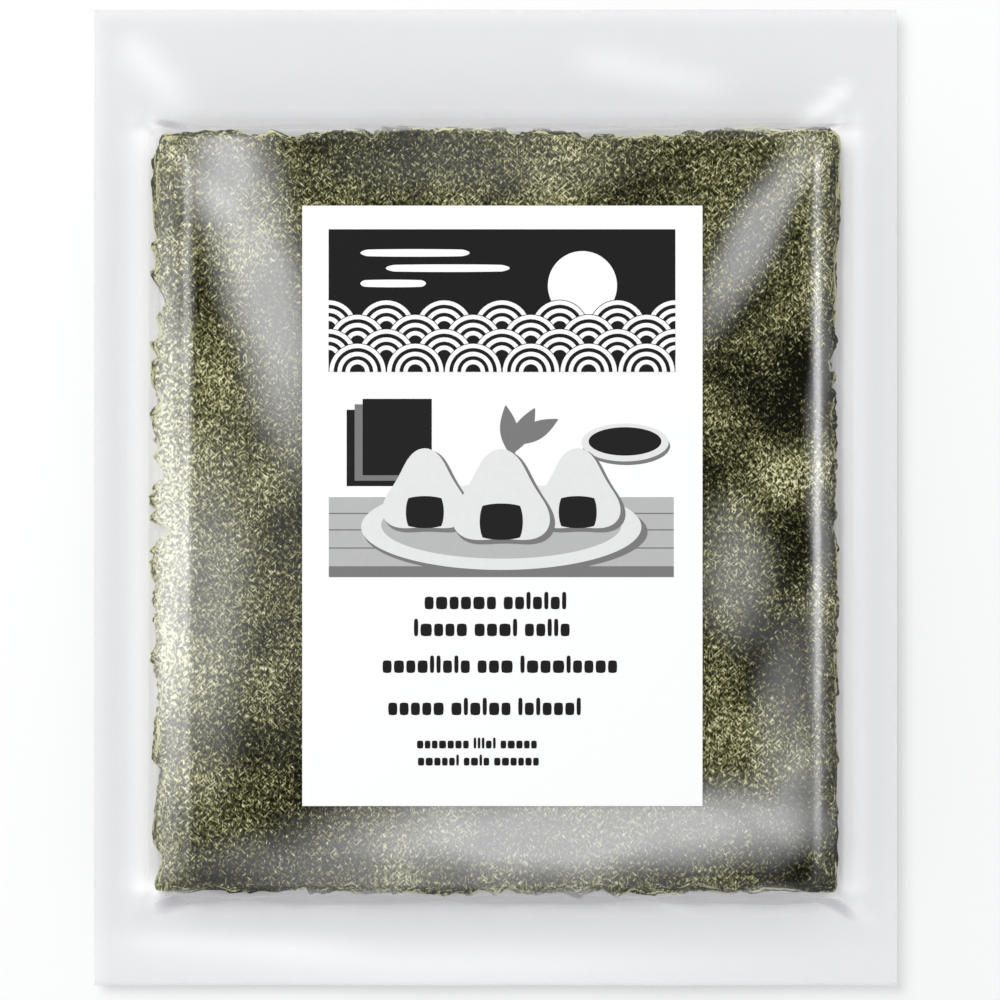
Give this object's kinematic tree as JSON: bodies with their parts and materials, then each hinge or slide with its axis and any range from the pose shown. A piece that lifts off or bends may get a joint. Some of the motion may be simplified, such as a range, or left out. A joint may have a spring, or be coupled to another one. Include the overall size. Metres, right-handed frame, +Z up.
{
  "type": "sealed bag of nori sheets",
  "caption": "Flat clear sealed bag holding a stack of square roasted nori sheets, with a wide film border and a paper label on its front.",
  "frame": {"origin": "under the middle of the bag, on the surface that its flat back lies on", "axes": "+Z up out of the labelled front, +Y along the bag towards the top of its label, +X across the bag"},
  "size_m": [0.223, 0.271, 0.0186],
  "materials": {
    "packed_nori": "dark olive nori sheets seen through glossy clear film, as one solid",
    "clear_film": "clear glossy polypropylene film",
    "nori": "dry pressed seaweed, dark olive with pale green flecks",
    "label_paper": "smooth white coated paper",
    "label_ink": "flat black and grey print"
  },
  "bodies": {
    "root": {"bag": "packed_nori", "label": "label_paper"}
  },
  "joints": []
}
